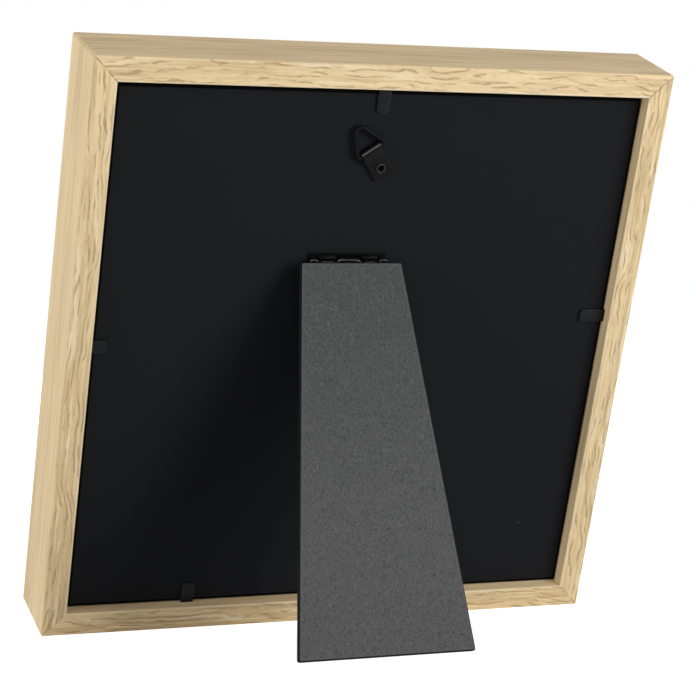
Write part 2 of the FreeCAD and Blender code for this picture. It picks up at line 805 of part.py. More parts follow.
def stand():
    """Lean the frame back until its rounded back edge and the leg's foot share the floor."""
    edge_round = size("edge_round")
    edge_at = Vector(0, -edge_round, edge_round)
    foot_at = Vector(0, size("barrel_radius") + size("leg_edge_bevel"), -size("leg_foot_drop"))
    foot_at = Rotation(AXIS_X, size("leg_open_angle")).multVec(foot_at)
    foot_at += Vector(0, size("pin_out"), size("pin_height"))
    span = foot_at - edge_at
    lean = math.atan2(span.z, span.y) + math.asin(edge_round / span.Length)
    turn = Rotation(AXIS_X, -math.degrees(lean))
    drop = turn.multVec(edge_at).z - edge_round
    return Placement(Vector(0, 0, -drop), turn)


def lean_of(placement):
    """Angle between the upright frame's Z and the standing frame's."""
    return placement.Rotation.multVec(AXIS_Z).getAngle(AXIS_Z)


nodes = assemble()
standing = stand()
for node, seat in nodes:
    node.Placement = standing * seat
doc.recompute()

# Slide the frame along Y, so that the middle of its footprint is the origin
boxes = [node.Shape.optimalBoundingBox(False, False) for node, seat in nodes]
low = min(box.YMin for box in boxes)
high = max(box.YMax for box in boxes)
standing = Placement(Vector(0, -(low + high) / 2, 0), Rotation()) * standing
for node, seat in nodes:
    node.Placement = standing * seat
doc.recompute()

for item in doc.Objects:
    if "Invalid" in item.State or "Error" in item.State:
        raise RuntimeError(item.Name + " did not build: " + str(item.State))
for node, seat in nodes:
    if node.Shape.isNull() or not node.Shape.isValid():
        raise RuntimeError(node.Label + " has no valid shape")

os.makedirs("parts", exist_ok=True)
for node, seat in nodes:
    node.Shape.exportStep(f"parts/{node.Label}.step")
    print(f"{node.Label}: {len(node.Shape.Solids)} solids, {node.Shape.Volume:.1f} cubic mm")
print("leans back by", round(math.degrees(lean_of(standing)), 3), "degrees")
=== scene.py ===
import json
import math

import bmesh
import bpy
from mathutils import Euler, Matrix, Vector


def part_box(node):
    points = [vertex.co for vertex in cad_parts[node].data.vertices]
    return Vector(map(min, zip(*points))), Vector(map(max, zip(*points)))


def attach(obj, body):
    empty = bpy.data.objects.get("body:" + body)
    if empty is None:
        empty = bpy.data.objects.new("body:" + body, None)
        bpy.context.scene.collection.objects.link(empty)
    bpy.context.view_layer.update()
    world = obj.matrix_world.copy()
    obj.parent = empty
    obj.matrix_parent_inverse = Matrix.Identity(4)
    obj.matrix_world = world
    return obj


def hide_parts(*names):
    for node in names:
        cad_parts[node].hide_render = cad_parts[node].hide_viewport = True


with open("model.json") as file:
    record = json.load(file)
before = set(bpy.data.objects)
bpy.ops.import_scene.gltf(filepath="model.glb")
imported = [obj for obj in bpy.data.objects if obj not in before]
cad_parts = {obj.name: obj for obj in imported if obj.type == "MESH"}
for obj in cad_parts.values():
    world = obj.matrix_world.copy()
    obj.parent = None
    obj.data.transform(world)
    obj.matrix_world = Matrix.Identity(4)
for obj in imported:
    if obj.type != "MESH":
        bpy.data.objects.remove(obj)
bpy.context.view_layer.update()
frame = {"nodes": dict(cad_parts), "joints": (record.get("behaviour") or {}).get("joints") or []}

joints = {joint["name"]: joint for joint in frame["joints"]}

# Moulding rails: four lengths of moulding wrapped in oak foil, rebated and mitred, and glued at
# the corners. The foil has a light ground, with brown flecks along the grain on the back and fine
# streaks on the other sides. A thin dark seam shows where two mitres meet.
OUT_OF_BACK = Vector(joints["hanger_swivel"]["axis"])
LEAN = math.atan2(-OUT_OF_BACK.z, OUT_OF_BACK.y)
QUARTER_TURN = math.pi / 2
RAILS = ("frame_rail_bottom", "frame_rail_top", "frame_rail_left", "frame_rail_right")
UPRIGHT_RAILS = ("frame_rail_left", "frame_rail_right")
RAIL_SHIFTS = (0.13, 0.71, 1.37, 2.09)

OAK_LIGHT = (0.90, 0.70, 0.41, 1)
OAK_MID = (0.66, 0.49, 0.27, 1)
OAK_FLECK = (0.34, 0.22, 0.10, 1)
OAK_PALE = (0.93, 0.79, 0.54, 1)
OAK_SEAM = (0.28, 0.20, 0.10, 1)

# A scale is in cycles a metre along the grain and across it. A step is where a mask starts and
# where it is full. A strength or roughness in two parts is its least, and what a full mask adds.
DRIFT_SCALE = (7, 60, 60)
DRIFT_SHARE = 0.6
STREAK_SCALE = (24, 950, 950)
STREAK_SHARE = 0.9
GROUND_STEP = (0.58, 1.02)
BEND_SCALE = (15, 45, 45)
BEND_REACH = 0.010
WAVER_SCALE = (80, 150, 150)
WAVER_REACH = 0.0024
FIGURE_SCALE = (26, 560, 560)
PALE_STEP = (0.46, 0.34)
PALE_STRENGTH = 0.7
SHADE_STEP = (0.50, 0.64)
SHADE_STRENGTH = (0.04, 0.12)
LINES_A_METRE = 520
LINE_WARP = 0.45
LINE_STEP = (0.27, 0.05)
LINE_STRENGTH = (0.06, 0.54)
HALF_SPACING = 0.5
DASH_SCALE = (105, 500, 500)
DASH_STEP = (0.46, 0.58)
PORE_SCALE = (170, 1500, 1500)
PORE_STEP = (0.60, 0.72)
PORE_STRENGTH = (0.06, 0.20)
FOIL_ROUGHNESS = (0.48, 0.16)
FOIL_RELIEF = 0.00015
SEAM_HALF_WIDTH = 0.00028
SEAM_WEAR_SCALE = (380, 380, 380)
SEAM_WEAR_STEP = (0.38, 0.64)
FIGURED_STEP = (0.35, 0.8)
# INNER_EDGE and the two values below draw a painted highlight along the rails' inner back edge.
INNER_EDGE = 0.1014
EDGE_HIGHLIGHT_HALF_WIDTH = 0.0005
EDGE_HIGHLIGHT_STRENGTH = 0.6


def add_node(tree, kind, settings=None, inputs=None):
    """New shader node, with its settings and with values or links for its inputs."""
    made = tree.nodes.new(kind)
    for name, value in (settings or {}).items():
        setattr(made, name, value)
    for key, value in (inputs or {}).items():
        if isinstance(value, bpy.types.NodeSocket):
            tree.links.new(value, made.inputs[key])
        else:
            made.inputs[key].default_value = value
    return made


def maths(tree, operation, first, second=0.0):
    """Result of one sum on two numbers or links."""
    made = add_node(tree, "ShaderNodeMath", {"operation": operation}, {0: first, 1: second})
    return made.outputs[0]


def raised(tree, mask, level):
    """Least of a level in two parts, and as much of its second part as the mask says."""
    least, more = level
    return maths(tree, "ADD", least, maths(tree, "MULTIPLY", mask, more))


def vector_maths(tree, operation, first, second):
    """Node of one sum on two vectors or links."""
    return add_node(tree, "ShaderNodeVectorMath", {"operation": operation}, {0: first, 1: second})


def axis_parts(tree, place):
    """X, Y and Z of a place."""
    return add_node(tree, "ShaderNodeSeparateXYZ", None, {0: place}).outputs


def object_place(tree):
    """Place on a piece, in metres, which stays with the piece as it moves."""
    return tree.nodes.new("ShaderNodeTexCoord").outputs["Object"]


def step_between(tree, value, low, high):
    """Mask that rises smoothly from 0 at low to 1 at high."""
    made = add_node(tree, "ShaderNodeMapRange", {"interpolation_type": "SMOOTHSTEP"},
                    {"Value": value, "From Min": low, "From Max": high})
    return made.outputs["Result"]


def blend_colours(tree, amount, first, second):
    """Colour between two, by a mask."""
    made = add_node(tree, "ShaderNodeMix", {"data_type": "RGBA"}, {0: amount, 6: first, 7: second})
    return made.outputs[2]


def stretched_noise(tree, place, scale, detail=2.0, distortion=0.0):
    """Noise that is drawn out by a scale along each axis, in cycles a metre."""
    drawn = vector_maths(tree, "MULTIPLY", place, scale).outputs[0]
    made = add_node(tree, "ShaderNodeTexNoise", None, {
        "Vector": drawn, "Scale": 1.0, "Detail": detail, "Distortion": distortion})
    return made.outputs["Fac"]


def new_group(name, inputs, outputs):
    """Shader node group with named inputs and outputs."""
    tree = bpy.data.node_groups.new(name, "ShaderNodeTree")
    for label, kind in inputs:
        tree.interface.new_socket(label, in_out="INPUT", socket_type=kind)
    for label, kind in outputs:
        tree.interface.new_socket(label, in_out="OUTPUT", socket_type=kind)
    return tree, tree.nodes.new("NodeGroupInput").outputs, tree.nodes.new("NodeGroupOutput").inputs


def finish_group(tree, results, outputs):
    """Link a group's results to its named outputs."""
    for label, result in results.items():
        tree.links.new(result, outputs[label])
    return tree


def new_material(name, roughness, specular):
    """Material with its shader's gloss set, and the tree and shader to build on."""
    made = bpy.data.materials.new(name)
    made.use_nodes = True
    shader = made.node_tree.nodes["Principled BSDF"]
    shader.inputs["Roughness"].default_value = roughness
    shader.inputs["Specular IOR Level"].default_value = specular
    return made, made.node_tree, shader


def place_group(tree, group, inputs):
    """Node that uses a group, with its inputs."""
    return add_node(tree, "ShaderNodeGroup", {"node_tree": group}, inputs).outputs


def emboss(tree, shader, height, distance, strength=1.0):
    """Raise a shader's surface by a height mask."""
    made = add_node(tree, "ShaderNodeBump", None,
                    {"Height": height, "Distance": distance, "Strength": strength})
    tree.links.new(made.outputs["Normal"], shader.inputs["Normal"])


def build_oak_figure():
    """Oak foil along the place's X: streaked ground, pale lines, wavy flecks and pores."""
    tree, given, results = new_group(
        "oak_figure",
        [("Place", "NodeSocketVector"), ("Figured", "NodeSocketFloat")],
        [("Colour", "NodeSocketColor"), ("Roughness", "NodeSocketFloat"),
         ("Height", "NodeSocketFloat")])
    place = given["Place"]
    figured = given["Figured"]
    drift = stretched_noise(tree, place, DRIFT_SCALE)
    streak = stretched_noise(tree, place, STREAK_SCALE, detail=3.0)
    bend = stretched_noise(tree, place, BEND_SCALE, detail=1.0)
    waver = stretched_noise(tree, place, WAVER_SCALE)
    aside = maths(tree, "ADD", maths(tree, "MULTIPLY", bend, BEND_REACH),
                  maths(tree, "MULTIPLY", waver, WAVER_REACH))
    across = add_node(tree, "ShaderNodeCombineXYZ", None, {1: aside, 2: aside}).outputs[0]
    wavy = vector_maths(tree, "ADD", place, across).outputs[0]
    figure = stretched_noise(tree, wavy, FIGURE_SCALE, detail=3.0)
    dash = stretched_noise(tree, wavy, DASH_SCALE)
    pore = stretched_noise(tree, wavy, PORE_SCALE)

    ground = maths(tree, "ADD", maths(tree, "MULTIPLY", drift, DRIFT_SHARE),
                   maths(tree, "MULTIPLY", streak, STREAK_SHARE))
    colour = blend_colours(tree, step_between(tree, ground, *GROUND_STEP), OAK_LIGHT, OAK_MID)
    pale = maths(tree, "MULTIPLY", step_between(tree, figure, *PALE_STEP),
                 maths(tree, "MULTIPLY", figured, PALE_STRENGTH))
    colour = blend_colours(tree, pale, colour, OAK_PALE)

    shade = maths(tree, "MULTIPLY", step_between(tree, figure, *SHADE_STEP),
                  raised(tree, figured, SHADE_STRENGTH))
    sides = axis_parts(tree, wavy)
    lines = maths(tree, "MULTIPLY", maths(tree, "ADD", sides["Y"], sides["Z"]), LINES_A_METRE)
    lines = maths(tree, "ADD", lines, maths(tree, "MULTIPLY", figure, LINE_WARP))
    line = step_between(tree, maths(tree, "PINGPONG", lines, HALF_SPACING), *LINE_STEP)
    dashes = maths(tree, "MULTIPLY", line, step_between(tree, dash, *DASH_STEP))
    dashes = maths(tree, "MULTIPLY", dashes, raised(tree, figured, LINE_STRENGTH))
    flecks = maths(tree, "MAXIMUM", shade, dashes)
    colour = blend_colours(tree, flecks, colour, OAK_FLECK)

    pores = maths(tree, "MULTIPLY", step_between(tree, pore, *PORE_STEP),
                  raised(tree, figured, PORE_STRENGTH))
    colour = blend_colours(tree, pores, colour, OAK_FLECK)
    height = maths(tree, "SUBTRACT", 1.0, maths(tree, "ADD", flecks, pores))
    roughness = raised(tree, streak, FOIL_ROUGHNESS)
    return finish_group(
        tree, {"Colour": colour, "Roughness": roughness, "Height": height}, results)


def build_mitre_seam():
    """Thin seam where the place, counted from the frame's middle, has X and Z of one size."""
    tree, given, results = new_group("mitre_seam", [("Place", "NodeSocketVector")],
                                     [("Seam", "NodeSocketFloat")])
    parts = axis_parts(tree, given["Place"])
    across = maths(tree, "ABSOLUTE", parts["X"])
    upward = maths(tree, "ABSOLUTE", parts["Z"])
    apart = maths(tree, "ABSOLUTE", maths(tree, "SUBTRACT", across, upward))
    beside = step_between(tree, apart, SEAM_HALF_WIDTH / 3, SEAM_HALF_WIDTH)
    line = maths(tree, "SUBTRACT", 1.0, beside)
    wear = stretched_noise(tree, given["Place"], SEAM_WEAR_SCALE)
    seam = maths(tree, "MULTIPLY", line, step_between(tree, wear, *SEAM_WEAR_STEP))
    return finish_group(tree, {"Seam": seam}, results)


oak_figure = build_oak_figure()
mitre_seam = build_mitre_seam()
corners = [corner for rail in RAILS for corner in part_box(rail)]
MIDDLE = Vector([(min(side) + max(side)) / 2 for side in zip(*corners)])
SET_UPRIGHT = Euler((LEAN, 0, 0))


def upright_place(tree):
    """Place on the frame as if it stood upright, counted from its middle."""
    shift = -(SET_UPRIGHT.to_matrix() @ MIDDLE)
    return add_node(tree, "ShaderNodeMapping", None, {
        "Vector": object_place(tree), "Rotation": SET_UPRIGHT, "Location": shift}).outputs[0]


def from_middle(tree, place, shifts=(0.0, 0.0, 0.0, 0.0)):
    """Greatest distance from the frame's middle to any side, each with its own shift."""
    parts = axis_parts(tree, place)
    ways = [maths(tree, "ADD", parts["X"], shifts[0]),
            maths(tree, "SUBTRACT", shifts[1], parts["X"]),
            maths(tree, "ADD", parts["Z"], shifts[2]),
            maths(tree, "SUBTRACT", shifts[3], parts["Z"])]
    return maths(tree, "MAXIMUM", maths(tree, "MAXIMUM", ways[0], ways[1]),
                 maths(tree, "MAXIMUM", ways[2], ways[3]))


def oak_material(rail, shift):
    """Oak foil with its grain along one rail."""
    made, tree, shader = new_material("oak_" + rail, roughness=0.5, specular=0.16)
    place = upright_place(tree)
    turn = (0, QUARTER_TURN, 0) if rail in UPRIGHT_RAILS else (0, 0, 0)
    along = add_node(tree, "ShaderNodeMapping", None, {
        "Vector": place, "Rotation": turn, "Location": (shift, shift, shift)}).outputs[0]
    normal = tree.nodes.new("ShaderNodeTexCoord").outputs["Normal"]
    facing = vector_maths(tree, "DOT_PRODUCT", normal, OUT_OF_BACK).outputs["Value"]
    figured = step_between(tree, maths(tree, "ABSOLUTE", facing), *FIGURED_STEP)
    foil = place_group(tree, oak_figure, {"Place": along, "Figured": figured})
    meeting = place_group(tree, mitre_seam, {"Place": place})["Seam"]
    seam = maths(tree, "MULTIPLY", figured, meeting)
    # Painted highlight: the inner back edge is painted pale, as if a rounded edge caught the
    # light.
    past_edge = maths(tree, "SUBTRACT", from_middle(tree, place), INNER_EDGE)
    off_edge = maths(tree, "ABSOLUTE", past_edge)
    edge = maths(tree, "MULTIPLY", figured, step_between(tree, off_edge, EDGE_HIGHLIGHT_HALF_WIDTH, 0.0))
    rubbed = maths(tree, "MULTIPLY", edge, EDGE_HIGHLIGHT_STRENGTH)
    colour = blend_colours(tree, rubbed, foil["Colour"], OAK_PALE)
    colour = blend_colours(tree, seam, colour, OAK_SEAM)
    tree.links.new(colour, shader.inputs["Base Color"])
    tree.links.new(foil["Roughness"], shader.inputs["Roughness"])
    emboss(tree, shader, maths(tree, "SUBTRACT", foil["Height"], seam), FOIL_RELIEF)
    return made


def dress(node, material):
    """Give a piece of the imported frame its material."""
    for slot in frame["nodes"][node].material_slots:
        slot.material = material


for rail, shift in zip(RAILS, RAIL_SHIFTS):
    dress(rail, oak_material(rail, shift))


# Glass and picture: a clear sheet with ground edges and, past a thin layer of air, the plain
# white sheet that fills the place of a picture. Both lie loose in the rebate, and the backing
# board holds them there.
GLASS_TINT = (0.98, 0.995, 0.99, 1)
GLASS_BENDING = 1.5
GLASS_WAVE_SCALE = (9, 9, 9)
GLASS_WAVE_RELIEF = 0.00002
GLASS_WAVE_STRENGTH = 0.2
PAPER_WHITE = (0.86, 0.86, 0.84, 1)
PAPER_SHADE = (0.80, 0.80, 0.78, 1)
PAPER_TOOTH_SCALE = (900, 900, 900)
PAPER_RELIEF = 0.00003
GLASS_EDGE = 0.00025
AIR_BEHIND_GLASS = 0.00006
BACK_FACE_BAND = GLASS_EDGE / 10
EDGE_STEPS = 2
EDGE_ROUND = 0.5
SHARP_EDGE = math.radians(28)
SMOOTH_LIMIT = math.radians(34)
FLAT_LIMIT = math.radians(1.0)
SAME_POINT = 1e-7


def shade_by_angle(mesh):
    """Smooth a mesh, apart from its sharp edges."""
    for face in mesh.polygons:
        face.use_smooth = True
    mesh.set_sharp_from_angle(angle=SMOOTH_LIMIT)


def new_piece(name, shape, materials, body, slot, *nodes):
    """Object from a bmesh, which rides on a body and stands for the nodes."""
    mesh = bpy.data.meshes.new(name)
    bmesh.ops.recalc_face_normals(shape, faces=shape.faces)
    shape.to_mesh(mesh)
    shape.free()
    shade_by_angle(mesh)
    for material in materials:
        mesh.materials.append(material)
    piece = bpy.data.objects.new(name, mesh)
    bpy.context.scene.collection.objects.link(piece)
    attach(piece, body)
    if nodes:
        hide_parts(*nodes)
    return piece


def broken_edges(node, width):
    """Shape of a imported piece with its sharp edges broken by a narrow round, in material 1."""
    shape = bmesh.new()
    shape.from_mesh(frame["nodes"][node].data)
    bmesh.ops.remove_doubles(shape, verts=shape.verts, dist=SAME_POINT)
    bmesh.ops.dissolve_limit(shape, angle_limit=FLAT_LIMIT, verts=shape.verts, edges=shape.edges)
    sharp = [edge for edge in shape.edges
             if len(edge.link_faces) == 2 and edge.calc_face_angle(0) > SHARP_EDGE]
    bmesh.ops.bevel(shape, geom=sharp, offset=width, segments=EDGE_STEPS, profile=EDGE_ROUND,
                    affect="EDGES", clamp_overlap=True, material=1)
    return shape


clear_glass, glass_tree, glass_shader = new_material("clear_glass", roughness=0.02, specular=0.5)
glass_shader.inputs["Transmission Weight"].default_value = 1.0
glass_shader.inputs["IOR"].default_value = GLASS_BENDING
glass_shader.inputs["Base Color"].default_value = GLASS_TINT
glass_wave = stretched_noise(glass_tree, object_place(glass_tree), GLASS_WAVE_SCALE)
emboss(glass_tree, glass_shader, glass_wave, GLASS_WAVE_RELIEF, GLASS_WAVE_STRENGTH)
glass_shape = broken_edges("glazing", GLASS_EDGE)
glass_back = max(point.co.dot(OUT_OF_BACK) for point in glass_shape.verts)
for point in glass_shape.verts:
    if point.co.dot(OUT_OF_BACK) > glass_back - BACK_FACE_BAND:
        point.co -= OUT_OF_BACK * AIR_BEHIND_GLASS
glass_sheet = new_piece("glass_sheet", glass_shape, (clear_glass, clear_glass),
                        "frame", "clear_glass", "glazing")
for face in glass_sheet.data.polygons:
    face.use_smooth = False

white_paper, paper_tree, paper_shader = new_material(
    "white_insert_paper", roughness=0.8, specular=0.3)
paper_tooth = stretched_noise(
    paper_tree, object_place(paper_tree), PAPER_TOOTH_SCALE, detail=4.0)
paper_tree.links.new(blend_colours(paper_tree, paper_tooth, PAPER_WHITE, PAPER_SHADE),
                     paper_shader.inputs["Base Color"])
emboss(paper_tree, paper_shader, paper_tooth, PAPER_RELIEF)
dress("picture_insert", white_paper)


# Backing board: one sheet of black fibreboard, a little smaller than the rebate, so that a black
# gap shows round it. Its lacquered face is slightly clouded, with a few pale specks of dust.
BOARD_BLACK = (0.0125, 0.0132, 0.0150, 1)
BOARD_CLOUD = (0.0145, 0.0152, 0.0170, 1)
BOARD_DUST = (0.11, 0.11, 0.105, 1)
# Painted shade: a near-black band round the board's edge, for the shade under the rails' lips.
BOARD_EDGE_SHADE = (0.0012, 0.0012, 0.0012, 1)
EDGE_SHADE_START = 0.0995
EDGE_SHADE_END = 0.0998
EDGE_SHADE_SHIFTS = (0.0009, 0.0, 0.0013, 0.0)
CLOUD_SCALE = (22, 22, 22)
BOARD_ROUGHNESS = (0.50, 0.14)
BOARD_TOOTH_SCALE = (1400, 1400, 1400)
BOARD_TOOTH_STRENGTH = 0.6
BOARD_RELIEF = 0.00002
DUST_CELLS = 75
DUST_SHARE = 0.93
DUST_SIZE = 0.022


def sparse_spots(tree, place, cells_a_metre, share, size):
    """Mask of small spots, in the share of the cells above a limit."""
    cells = add_node(
        tree, "ShaderNodeTexVoronoi", None, {"Vector": place, "Scale": cells_a_metre}).outputs
    cell_colour = add_node(tree, "ShaderNodeSeparateColor", None, {0: cells["Color"]}).outputs
    chosen = maths(tree, "GREATER_THAN", cell_colour["Red"], share)
    near_middle = maths(tree, "LESS_THAN", cells["Distance"], size)
    return maths(tree, "MULTIPLY", near_middle, chosen)


black_board, board_tree, board_shader = new_material(
    "black_backing_board", roughness=0.6, specular=0.02)
board_place = upright_place(board_tree)
cloud = stretched_noise(board_tree, board_place, CLOUD_SCALE, detail=3.0)
board_colour = blend_colours(board_tree, cloud, BOARD_BLACK, BOARD_CLOUD)
dust = sparse_spots(board_tree, board_place, DUST_CELLS, DUST_SHARE, DUST_SIZE)
board_colour = blend_colours(board_tree, dust, board_colour, BOARD_DUST)
# Painted shade along the board's edge, wider along the top.
outward = from_middle(board_tree, board_place, EDGE_SHADE_SHIFTS)
edge_shade = step_between(board_tree, outward, EDGE_SHADE_START, EDGE_SHADE_END)
board_colour = blend_colours(board_tree, edge_shade, board_colour, BOARD_EDGE_SHADE)
board_tree.links.new(board_colour, board_shader.inputs["Base Color"])
board_tree.links.new(raised(board_tree, cloud, BOARD_ROUGHNESS), board_shader.inputs["Roughness"])
board_tooth = stretched_noise(board_tree, board_place, BOARD_TOOTH_SCALE, detail=3.0)
emboss(board_tree, board_shader, board_tooth, BOARD_RELIEF, BOARD_TOOTH_STRENGTH)
dress("backing_board", black_board)


# Bending tabs: four strips of blackened soft steel, each driven into a rail and bent flat over
# the board. Their edges are sheared and painted lighter, partly rubbed blacking and partly a
# painted highlight.
TAB_BLACK = (0.0072, 0.0077, 0.0088, 1)
TAB_WEAR_AND_SHEEN = (0.020, 0.021, 0.023, 1)
TAB_EDGE_HIGHLIGHT = (0.055, 0.056, 0.060, 1)
MOTTLE_SCALE = (650, 650, 650)
RUB_STEP = (0.56, 0.74)
STEEL_ROUGHNESS = (0.26, 0.24)
STEEL_RELIEF_STRENGTH = 0.5
TAB_RELIEF = 0.00003
TABS = ("tab_bottom", "tab_top", "tab_left", "tab_right")
TAB_EDGE = 0.00009


def build_blacked_steel():
    """Blacking on steel: slight mottling, with small rubbed spots."""
    tree, given, results = new_group(
        "blacked_steel",
        [("Place", "NodeSocketVector"), ("Black", "NodeSocketColor"),
         ("Rubbed", "NodeSocketColor")],
        [("Colour", "NodeSocketColor"), ("Roughness", "NodeSocketFloat"),
         ("Height", "NodeSocketFloat")])
    mottle = stretched_noise(tree, given["Place"], MOTTLE_SCALE, detail=4.0)
    spots = step_between(tree, mottle, *RUB_STEP)
    colour = blend_colours(tree, spots, given["Black"], given["Rubbed"])
    roughness = raised(tree, mottle, STEEL_ROUGHNESS)
    return finish_group(
        tree, {"Colour": colour, "Roughness": roughness, "Height": mottle}, results)


blacked_steel = build_blacked_steel()


def steel_skin(tree, shader, place, black, rubbed, relief):
    """Colour of blacked steel in one shade, with its gloss and mottling on the shader."""
    skin = place_group(tree, blacked_steel, {"Place": place, "Black": black, "Rubbed": rubbed})
    tree.links.new(skin["Roughness"], shader.inputs["Roughness"])
    emboss(tree, shader, skin["Height"], relief, STEEL_RELIEF_STRENGTH)
    return skin["Colour"]


def steel_material(name, black, rubbed, relief, specular):
    """Blacked steel in one shade."""
    made, tree, shader = new_material(name, roughness=0.4, specular=specular)
    colour = steel_skin(tree, shader, object_place(tree), black, rubbed, relief)
    tree.links.new(colour, shader.inputs["Base Color"])
    return made


tab_steel = steel_material(
    "blackened_tab_steel", TAB_BLACK, TAB_WEAR_AND_SHEEN, TAB_RELIEF, specular=0.10)
# The edge material is partly rubbed blacking and partly a painted highlight.
tab_edge = steel_material(
    "worn_and_highlit_tab_edge", TAB_WEAR_AND_SHEEN, TAB_EDGE_HIGHLIGHT, TAB_RELIEF, specular=0.15)
for tab in TABS:
    side = tab.split("_")[1]
    new_piece("bent_strip_" + side, broken_edges(tab, TAB_EDGE), (tab_steel, tab_edge),
              side + "_tab", "tab_steel", tab)
dress("tab_roots", tab_steel)


# Leg hinge: two pressed leaves of black lacquered steel on one pin. The board leaf is bridged
# over the pin in three places, and the leg leaf hooks round it twice. Rivets hold both leaves.
# A painted highlight runs along a bowed line on each knuckle and hook.
HINGE_BLACK = (0.0016, 0.0016, 0.0018, 1)
HINGE_RUBBED = (0.004, 0.004, 0.004, 1)
HINGE_HIGHLIGHT = (0.14, 0.14, 0.14, 1)
HINGE_RELIEF = 0.00003
LEAF_EDGE = 0.00008

PIN_PLACE = Vector(joints["leg_hinge"]["pos_m"])
LEVEL = Vector((1, 0, 0))
NOISE_MIDDLE = 0.5
BARREL_RADIUS = 0.00155
KNUCKLE_HIGHLIGHT_HEIGHT = 0.00143
HOOK_HIGHLIGHT_HEIGHT = 0.00085
HIGHLIGHT_BOW = 2.2
HIGHLIGHT_CORE = 0.00003
HIGHLIGHT_FADE = 0.00013
HIGHLIGHT_WOBBLE_SCALE = (380, 380, 380)
HIGHLIGHT_WANDER = 0.0004

# Where each knuckle and hook starts and ends along the pin.
KNUCKLES = ((-0.0150, -0.0118), (-0.0046, 0.0046), (0.0118, 0.0150))
HOOKS = ((-0.0114, -0.0050), (0.0050, 0.0114))
CROWN_STEPS = 8
CROWN_DROP = 0.00035
CROWN_POWER = 3
CROWN_INSIDE = 0.00130
CROWN_REACH = 0.00162
KNUCKLE_END = 1.001


def hinge_material(name, highlight_height):
    """Lacquered steel with a painted highlight on a bowed line at a given height above the pin."""
    made, tree, shader = new_material(name, roughness=0.4, specular=0.03)
    place = object_place(tree)
    colour = steel_skin(tree, shader, place, HINGE_BLACK, HINGE_RUBBED, HINGE_RELIEF)
    from_pin = vector_maths(tree, "SUBTRACT", place, PIN_PLACE).outputs[0]
    upward = LEVEL.cross(OUT_OF_BACK)
    high = vector_maths(tree, "DOT_PRODUCT", from_pin, upward).outputs["Value"]
    out = vector_maths(tree, "DOT_PRODUCT", from_pin, OUT_OF_BACK).outputs["Value"]
    radius = maths(tree, "SQRT", maths(tree, "ADD", maths(tree, "MULTIPLY", high, high),
                                       maths(tree, "MULTIPLY", out, out)))
    sunk = maths(tree, "SUBTRACT", BARREL_RADIUS, radius)
    line = maths(tree, "SUBTRACT", highlight_height, maths(tree, "MULTIPLY", sunk, HIGHLIGHT_BOW))
    highlight_noise = stretched_noise(tree, place, HIGHLIGHT_WOBBLE_SCALE)
    highlight_shift = maths(tree, "MULTIPLY", maths(tree, "SUBTRACT", highlight_noise, NOISE_MIDDLE), HIGHLIGHT_WANDER)
    above_line = maths(tree, "SUBTRACT", maths(tree, "ADD", high, highlight_shift), line)
    off_line = maths(tree, "ABSOLUTE", above_line)
    on_barrel = maths(tree, "MULTIPLY", maths(tree, "GREATER_THAN", out, HIGHLIGHT_CORE),
                      maths(tree, "LESS_THAN", radius, CROWN_REACH))
    # Painted highlight: a bright bowed line on the barrel, where the lamps would glint.
    crest = maths(tree, "MULTIPLY", step_between(tree, off_line, HIGHLIGHT_FADE, HIGHLIGHT_CORE),
                  on_barrel)
    tree.links.new(blend_colours(tree, crest, colour, HINGE_HIGHLIGHT),
                   shader.inputs["Base Color"])
    return made


knuckle_steel = hinge_material("knuckle_steel_with_painted_highlight", KNUCKLE_HIGHLIGHT_HEIGHT)
hook_steel = hinge_material("hook_steel_with_painted_highlight", HOOK_HIGHLIGHT_HEIGHT)
hinge_edge = steel_material(
    "rubbed_hinge_edge", HINGE_BLACK, HINGE_RUBBED, HINGE_RELIEF, specular=0.05)


def crowned(shape, knuckles):
    """Round off the barrel of each knuckle toward its ends, so that its outmost line bows."""
    for low, high in knuckles:
        for step in range(1, CROWN_STEPS):
            cut_at = PIN_PLACE.x + low + (high - low) * step / CROWN_STEPS
            near_pin = [face for face in shape.faces
                        if (face.calc_center_median() - PIN_PLACE).yz.length < CROWN_REACH]
            parts = set(near_pin)
            for face in near_pin:
                parts.update(face.edges, face.verts)
            bmesh.ops.bisect_plane(
                shape, geom=list(parts), plane_co=(cut_at, 0, 0), plane_no=LEVEL)
        for point in shape.verts:
            across = (point.co.x - PIN_PLACE.x - (low + high) / 2) / ((high - low) / 2)
            from_pin = point.co - PIN_PLACE
            from_pin.x = 0
            in_barrel = CROWN_INSIDE < from_pin.length < CROWN_REACH
            if abs(across) > KNUCKLE_END or not in_barrel:
                continue
            away = from_pin.normalized()
            facing = max(0.0, away.dot(OUT_OF_BACK))
            point.co -= away * CROWN_DROP * abs(across) ** CROWN_POWER * facing
    return shape


new_piece("board_leaf", crowned(broken_edges("hinge_board_leaf", LEAF_EDGE), KNUCKLES),
          (knuckle_steel, hinge_edge), "frame", "hinge_steel", "hinge_board_leaf")
new_piece("leg_leaf", crowned(broken_edges("hinge_leg_leaf", LEAF_EDGE), HOOKS),
          (hook_steel, hinge_edge), "leg", "hinge_steel", "hinge_leg_leaf")
for node in ("hinge_pin", "board_rivets", "leg_rivets"):
    dress(node, hinge_edge)


